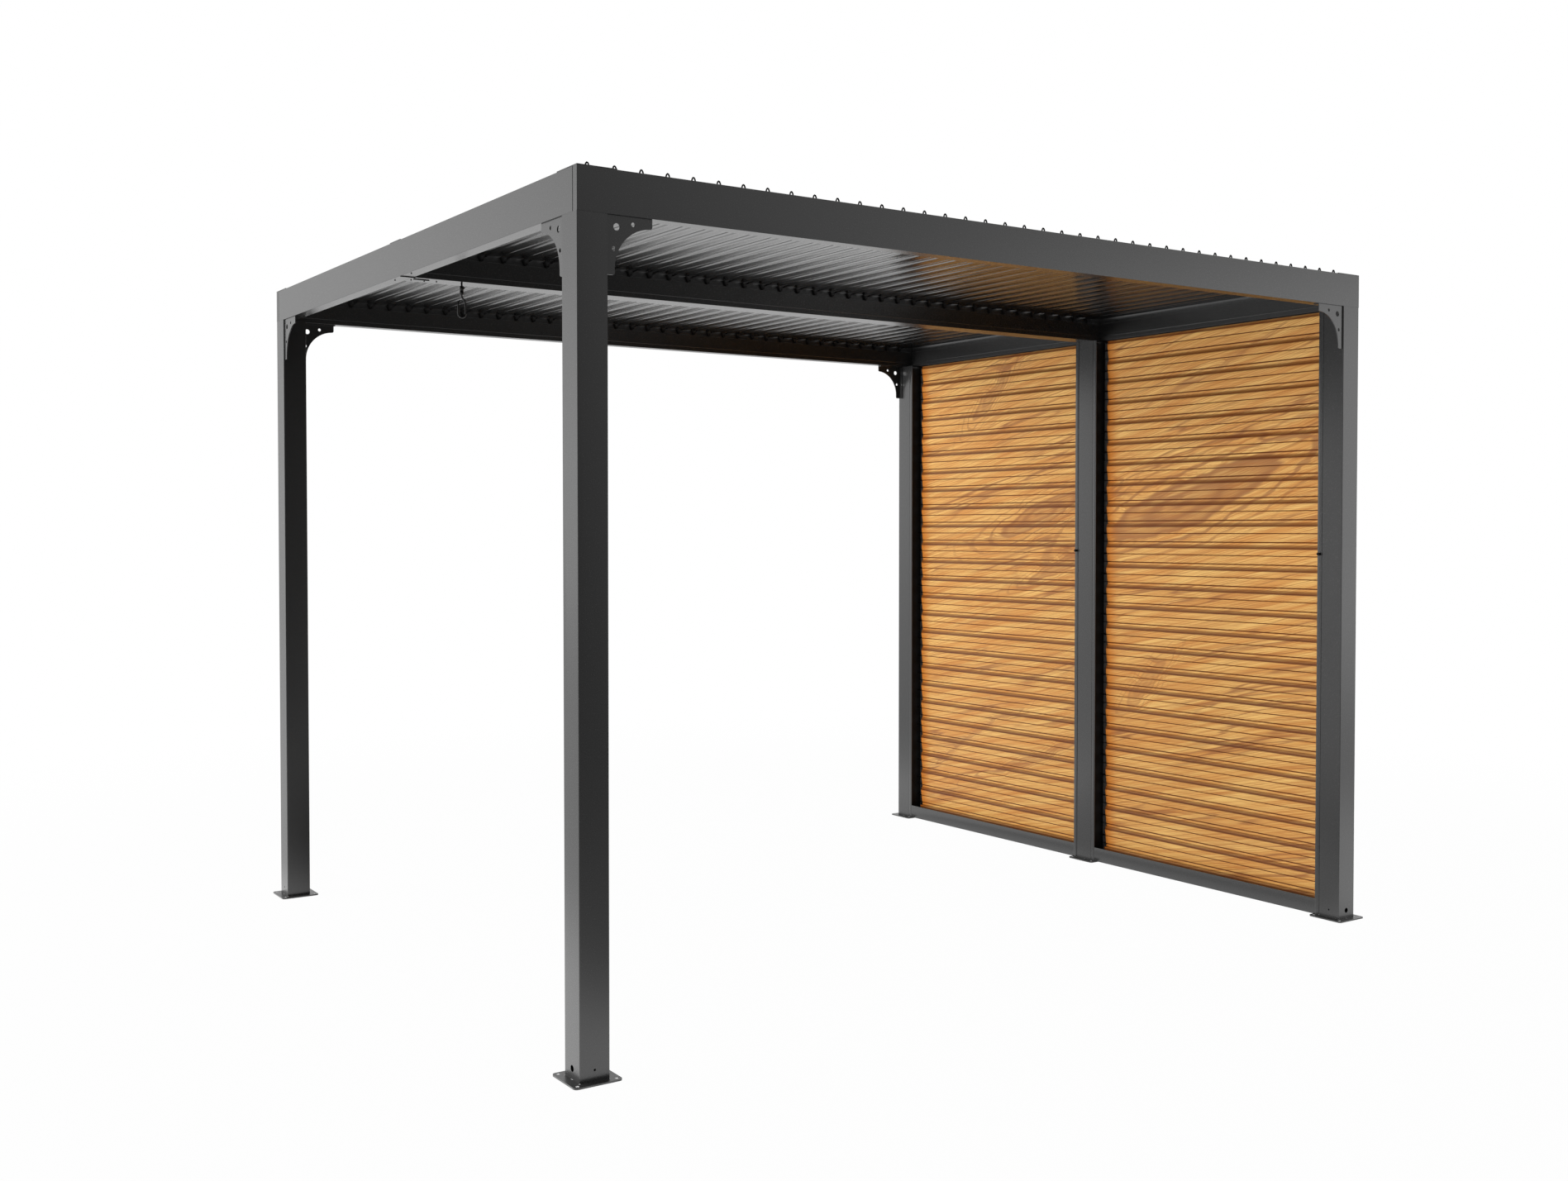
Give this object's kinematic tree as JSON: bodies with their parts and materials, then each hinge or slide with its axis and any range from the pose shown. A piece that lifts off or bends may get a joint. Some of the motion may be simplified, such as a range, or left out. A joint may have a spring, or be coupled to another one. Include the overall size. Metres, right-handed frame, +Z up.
{
  "type": "bioclimatic pergola",
  "caption": "Free-standing aluminium pergola with a roof of tilting blades, a rain gutter in its beams, and one side closed by leaning wood-effect louvres.",
  "frame": {"origin": "on the ground under the middle of the roof", "axes": "+X along the front beam towards the louvred wall, +Y from the front beam to the back beam, +Z up"},
  "size_m": [3.402, 2.83, 2.5165],
  "materials": {
    "frame_coating": "fine matte powder coat, anthracite",
    "plate_coating": "matte powder coat on steel, anthracite",
    "blade_coating": "matte powder coat, anthracite",
    "wood_effect_coating": "wood-effect coating, satin",
    "black_plastic": "moulded, matte",
    "black_coated_steel": "satin black"
  },
  "bodies": {
    "frame": {"post_front_left": "frame_coating", "post_front_right": "frame_coating", "post_back_right": "frame_coating", "post_back_left": "frame_coating", "post_wall_middle": "frame_coating", "foot_plates": "plate_coating", "beam_front": "frame_coating", "beam_back": "frame_coating", "beam_left": "frame_coating", "beam_right": "frame_coating", "beam_middle": "frame_coating", "joint_caps": "frame_coating", "gussets": "frame_coating", "wall_frame_front": "frame_coating", "wall_frame_back": "frame_coating", "wall_blades_front": "wood_effect_coating", "wall_blades_back": "wood_effect_coating", "wall_knobs": "black_plastic", "crank_housing": "black_coated_steel"},
    "crank": {"crank_eye": "black_coated_steel"},
    "roof_blade_01_body": {"roof_blade_01": "blade_coating"},
    "roof_blade_02_body": {"roof_blade_02": "blade_coating"},
    "roof_blade_03_body": {"roof_blade_03": "blade_coating"},
    "roof_blade_04_body": {"roof_blade_04": "blade_coating"},
    "roof_blade_05_body": {"roof_blade_05": "blade_coating"},
    "roof_blade_06_body": {"roof_blade_06": "blade_coating"},
    "roof_blade_07_body": {"roof_blade_07": "blade_coating"},
    "roof_blade_08_body": {"roof_blade_08": "blade_coating"},
    "roof_blade_09_body": {"roof_blade_09": "blade_coating"},
    "roof_blade_10_body": {"roof_blade_10": "blade_coating"},
    "roof_blade_11_body": {"roof_blade_11": "blade_coating"},
    "roof_blade_12_body": {"roof_blade_12": "blade_coating"},
    "roof_blade_13_body": {"roof_blade_13": "blade_coating"},
    "roof_blade_14_body": {"roof_blade_14": "blade_coating"},
    "roof_blade_15_body": {"roof_blade_15": "blade_coating"},
    "roof_blade_16_body": {"roof_blade_16": "blade_coating"},
    "roof_blade_17_body": {"roof_blade_17": "blade_coating"},
    "roof_blade_18_body": {"roof_blade_18": "blade_coating"},
    "roof_blade_19_body": {"roof_blade_19": "blade_coating"},
    "roof_blade_20_body": {"roof_blade_20": "blade_coating"},
    "roof_blade_21_body": {"roof_blade_21": "blade_coating"},
    "roof_blade_22_body": {"roof_blade_22": "blade_coating"},
    "roof_blade_23_body": {"roof_blade_23": "blade_coating"},
    "roof_blade_24_body": {"roof_blade_24": "blade_coating"},
    "roof_blade_25_body": {"roof_blade_25": "blade_coating"},
    "roof_blade_26_body": {"roof_blade_26": "blade_coating"},
    "roof_blade_27_body": {"roof_blade_27": "blade_coating"},
    "roof_blade_28_body": {"roof_blade_28": "blade_coating"},
    "roof_blade_29_body": {"roof_blade_29": "blade_coating"},
    "roof_blade_30_body": {"roof_blade_30": "blade_coating"},
    "roof_blade_31_body": {"roof_blade_31": "blade_coating"},
    "roof_blade_32_body": {"roof_blade_32": "blade_coating"},
    "roof_blade_33_body": {"roof_blade_33": "blade_coating"},
    "roof_blade_34_body": {"roof_blade_34": "blade_coating"},
    "roof_blade_35_body": {"roof_blade_35": "blade_coating"},
    "roof_blade_36_body": {"roof_blade_36": "blade_coating"},
    "roof_blade_37_body": {"roof_blade_37": "blade_coating"},
    "roof_blade_38_body": {"roof_blade_38": "blade_coating"},
    "roof_blade_39_body": {"roof_blade_39": "blade_coating"}
  },
  "joints": [
    {"name": "blade_01_tilt", "type": "hinge", "parent": "frame", "child": "roof_blade_01_body", "pos_m": [-1.6031, 0, 2.47625], "axis": [0, 1, 0], "range_deg": [0, 90]},
    {"name": "blade_02_tilt", "type": "hinge", "parent": "frame", "child": "roof_blade_02_body", "pos_m": [-1.5193, 0, 2.47625], "axis": [0, 1, 0], "range_deg": [0, 90]},
    {"name": "blade_03_tilt", "type": "hinge", "parent": "frame", "child": "roof_blade_03_body", "pos_m": [-1.4355, 0, 2.47625], "axis": [0, 1, 0], "range_deg": [0, 90]},
    {"name": "blade_04_tilt", "type": "hinge", "parent": "frame", "child": "roof_blade_04_body", "pos_m": [-1.3517, 0, 2.47625], "axis": [0, 1, 0], "range_deg": [0, 90]},
    {"name": "blade_05_tilt", "type": "hinge", "parent": "frame", "child": "roof_blade_05_body", "pos_m": [-1.2679, 0, 2.47625], "axis": [0, 1, 0], "range_deg": [0, 90]},
    {"name": "blade_06_tilt", "type": "hinge", "parent": "frame", "child": "roof_blade_06_body", "pos_m": [-1.1841, 0, 2.47625], "axis": [0, 1, 0], "range_deg": [0, 90]},
    {"name": "blade_07_tilt", "type": "hinge", "parent": "frame", "child": "roof_blade_07_body", "pos_m": [-1.1003, 0, 2.47625], "axis": [0, 1, 0], "range_deg": [0, 90]},
    {"name": "blade_08_tilt", "type": "hinge", "parent": "frame", "child": "roof_blade_08_body", "pos_m": [-1.0165, 0, 2.47625], "axis": [0, 1, 0], "range_deg": [0, 90]},
    {"name": "blade_09_tilt", "type": "hinge", "parent": "frame", "child": "roof_blade_09_body", "pos_m": [-0.9327, 0, 2.47625], "axis": [0, 1, 0], "range_deg": [0, 90]},
    {"name": "blade_10_tilt", "type": "hinge", "parent": "frame", "child": "roof_blade_10_body", "pos_m": [-0.8489, 0, 2.47625], "axis": [0, 1, 0], "range_deg": [0, 90]},
    {"name": "blade_11_tilt", "type": "hinge", "parent": "frame", "child": "roof_blade_11_body", "pos_m": [-0.7651, 0, 2.47625], "axis": [0, 1, 0], "range_deg": [0, 90]},
    {"name": "blade_12_tilt", "type": "hinge", "parent": "frame", "child": "roof_blade_12_body", "pos_m": [-0.6813, 0, 2.47625], "axis": [0, 1, 0], "range_deg": [0, 90]},
    {"name": "blade_13_tilt", "type": "hinge", "parent": "frame", "child": "roof_blade_13_body", "pos_m": [-0.5975, 0, 2.47625], "axis": [0, 1, 0], "range_deg": [0, 90]},
    {"name": "blade_14_tilt", "type": "hinge", "parent": "frame", "child": "roof_blade_14_body", "pos_m": [-0.5137, 0, 2.47625], "axis": [0, 1, 0], "range_deg": [0, 90]},
    {"name": "blade_15_tilt", "type": "hinge", "parent": "frame", "child": "roof_blade_15_body", "pos_m": [-0.4299, 0, 2.47625], "axis": [0, 1, 0], "range_deg": [0, 90]},
    {"name": "blade_16_tilt", "type": "hinge", "parent": "frame", "child": "roof_blade_16_body", "pos_m": [-0.3461, 0, 2.47625], "axis": [0, 1, 0], "range_deg": [0, 90]},
    {"name": "blade_17_tilt", "type": "hinge", "parent": "frame", "child": "roof_blade_17_body", "pos_m": [-0.2623, 0, 2.47625], "axis": [0, 1, 0], "range_deg": [0, 90]},
    {"name": "blade_18_tilt", "type": "hinge", "parent": "frame", "child": "roof_blade_18_body", "pos_m": [-0.1785, 0, 2.47625], "axis": [0, 1, 0], "range_deg": [0, 90]},
    {"name": "blade_19_tilt", "type": "hinge", "parent": "frame", "child": "roof_blade_19_body", "pos_m": [-0.0947, 0, 2.47625], "axis": [0, 1, 0], "range_deg": [0, 90]},
    {"name": "blade_20_tilt", "type": "hinge", "parent": "frame", "child": "roof_blade_20_body", "pos_m": [-0.0109, 0, 2.47625], "axis": [0, 1, 0], "range_deg": [0, 90]},
    {"name": "blade_21_tilt", "type": "hinge", "parent": "frame", "child": "roof_blade_21_body", "pos_m": [0.0729, 0, 2.47625], "axis": [0, 1, 0], "range_deg": [0, 90]},
    {"name": "blade_22_tilt", "type": "hinge", "parent": "frame", "child": "roof_blade_22_body", "pos_m": [0.1567, 0, 2.47625], "axis": [0, 1, 0], "range_deg": [0, 90]},
    {"name": "blade_23_tilt", "type": "hinge", "parent": "frame", "child": "roof_blade_23_body", "pos_m": [0.2405, 0, 2.47625], "axis": [0, 1, 0], "range_deg": [0, 90]},
    {"name": "blade_24_tilt", "type": "hinge", "parent": "frame", "child": "roof_blade_24_body", "pos_m": [0.3243, 0, 2.47625], "axis": [0, 1, 0], "range_deg": [0, 90]},
    {"name": "blade_25_tilt", "type": "hinge", "parent": "frame", "child": "roof_blade_25_body", "pos_m": [0.4081, 0, 2.47625], "axis": [0, 1, 0], "range_deg": [0, 90]},
    {"name": "blade_26_tilt", "type": "hinge", "parent": "frame", "child": "roof_blade_26_body", "pos_m": [0.4919, 0, 2.47625], "axis": [0, 1, 0], "range_deg": [0, 90]},
    {"name": "blade_27_tilt", "type": "hinge", "parent": "frame", "child": "roof_blade_27_body", "pos_m": [0.5757, 0, 2.47625], "axis": [0, 1, 0], "range_deg": [0, 90]},
    {"name": "blade_28_tilt", "type": "hinge", "parent": "frame", "child": "roof_blade_28_body", "pos_m": [0.6595, 0, 2.47625], "axis": [0, 1, 0], "range_deg": [0, 90]},
    {"name": "blade_29_tilt", "type": "hinge", "parent": "frame", "child": "roof_blade_29_body", "pos_m": [0.7433, 0, 2.47625], "axis": [0, 1, 0], "range_deg": [0, 90]},
    {"name": "blade_30_tilt", "type": "hinge", "parent": "frame", "child": "roof_blade_30_body", "pos_m": [0.8271, 0, 2.47625], "axis": [0, 1, 0], "range_deg": [0, 90]},
    {"name": "blade_31_tilt", "type": "hinge", "parent": "frame", "child": "roof_blade_31_body", "pos_m": [0.9109, 0, 2.47625], "axis": [0, 1, 0], "range_deg": [0, 90]},
    {"name": "blade_32_tilt", "type": "hinge", "parent": "frame", "child": "roof_blade_32_body", "pos_m": [0.9947, 0, 2.47625], "axis": [0, 1, 0], "range_deg": [0, 90]},
    {"name": "blade_33_tilt", "type": "hinge", "parent": "frame", "child": "roof_blade_33_body", "pos_m": [1.0785, 0, 2.47625], "axis": [0, 1, 0], "range_deg": [0, 90]},
    {"name": "blade_34_tilt", "type": "hinge", "parent": "frame", "child": "roof_blade_34_body", "pos_m": [1.1623, 0, 2.47625], "axis": [0, 1, 0], "range_deg": [0, 90]},
    {"name": "blade_35_tilt", "type": "hinge", "parent": "frame", "child": "roof_blade_35_body", "pos_m": [1.2461, 0, 2.47625], "axis": [0, 1, 0], "range_deg": [0, 90]},
    {"name": "blade_36_tilt", "type": "hinge", "parent": "frame", "child": "roof_blade_36_body", "pos_m": [1.3299, 0, 2.47625], "axis": [0, 1, 0], "range_deg": [0, 90]},
    {"name": "blade_37_tilt", "type": "hinge", "parent": "frame", "child": "roof_blade_37_body", "pos_m": [1.4137, 0, 2.47625], "axis": [0, 1, 0], "range_deg": [0, 90]},
    {"name": "blade_38_tilt", "type": "hinge", "parent": "frame", "child": "roof_blade_38_body", "pos_m": [1.4975, 0, 2.47625], "axis": [0, 1, 0], "range_deg": [0, 90]},
    {"name": "blade_39_tilt", "type": "hinge", "parent": "frame", "child": "roof_blade_39_body", "pos_m": [1.5813, 0, 2.47625], "axis": [0, 1, 0], "range_deg": [0, 90]},
    {"name": "crank_eye_turn", "type": "hinge", "parent": "frame", "child": "crank", "pos_m": [-1.448, -0.038, 2.345], "axis": [0, 0, 1], "continuous": true}
  ],
  "couplings": [
    {"joint": "blade_02_tilt", "follows": "blade_01_tilt", "ratio": 1},
    {"joint": "blade_03_tilt", "follows": "blade_01_tilt", "ratio": 1},
    {"joint": "blade_04_tilt", "follows": "blade_01_tilt", "ratio": 1},
    {"joint": "blade_05_tilt", "follows": "blade_01_tilt", "ratio": 1},
    {"joint": "blade_06_tilt", "follows": "blade_01_tilt", "ratio": 1},
    {"joint": "blade_07_tilt", "follows": "blade_01_tilt", "ratio": 1},
    {"joint": "blade_08_tilt", "follows": "blade_01_tilt", "ratio": 1},
    {"joint": "blade_09_tilt", "follows": "blade_01_tilt", "ratio": 1},
    {"joint": "blade_10_tilt", "follows": "blade_01_tilt", "ratio": 1},
    {"joint": "blade_11_tilt", "follows": "blade_01_tilt", "ratio": 1},
    {"joint": "blade_12_tilt", "follows": "blade_01_tilt", "ratio": 1},
    {"joint": "blade_13_tilt", "follows": "blade_01_tilt", "ratio": 1},
    {"joint": "blade_14_tilt", "follows": "blade_01_tilt", "ratio": 1},
    {"joint": "blade_15_tilt", "follows": "blade_01_tilt", "ratio": 1},
    {"joint": "blade_16_tilt", "follows": "blade_01_tilt", "ratio": 1},
    {"joint": "blade_17_tilt", "follows": "blade_01_tilt", "ratio": 1},
    {"joint": "blade_18_tilt", "follows": "blade_01_tilt", "ratio": 1},
    {"joint": "blade_19_tilt", "follows": "blade_01_tilt", "ratio": 1},
    {"joint": "blade_20_tilt", "follows": "blade_01_tilt", "ratio": 1},
    {"joint": "blade_21_tilt", "follows": "blade_01_tilt", "ratio": 1},
    {"joint": "blade_22_tilt", "follows": "blade_01_tilt", "ratio": 1},
    {"joint": "blade_23_tilt", "follows": "blade_01_tilt", "ratio": 1},
    {"joint": "blade_24_tilt", "follows": "blade_01_tilt", "ratio": 1},
    {"joint": "blade_25_tilt", "follows": "blade_01_tilt", "ratio": 1},
    {"joint": "blade_26_tilt", "follows": "blade_01_tilt", "ratio": 1},
    {"joint": "blade_27_tilt", "follows": "blade_01_tilt", "ratio": 1},
    {"joint": "blade_28_tilt", "follows": "blade_01_tilt", "ratio": 1},
    {"joint": "blade_29_tilt", "follows": "blade_01_tilt", "ratio": 1},
    {"joint": "blade_30_tilt", "follows": "blade_01_tilt", "ratio": 1},
    {"joint": "blade_31_tilt", "follows": "blade_01_tilt", "ratio": 1},
    {"joint": "blade_32_tilt", "follows": "blade_01_tilt", "ratio": 1},
    {"joint": "blade_33_tilt", "follows": "blade_01_tilt", "ratio": 1},
    {"joint": "blade_34_tilt", "follows": "blade_01_tilt", "ratio": 1},
    {"joint": "blade_35_tilt", "follows": "blade_01_tilt", "ratio": 1},
    {"joint": "blade_36_tilt", "follows": "blade_01_tilt", "ratio": 1},
    {"joint": "blade_37_tilt", "follows": "blade_01_tilt", "ratio": 1},
    {"joint": "blade_38_tilt", "follows": "blade_01_tilt", "ratio": 1},
    {"joint": "blade_39_tilt", "follows": "blade_01_tilt", "ratio": 1}
  ]
}
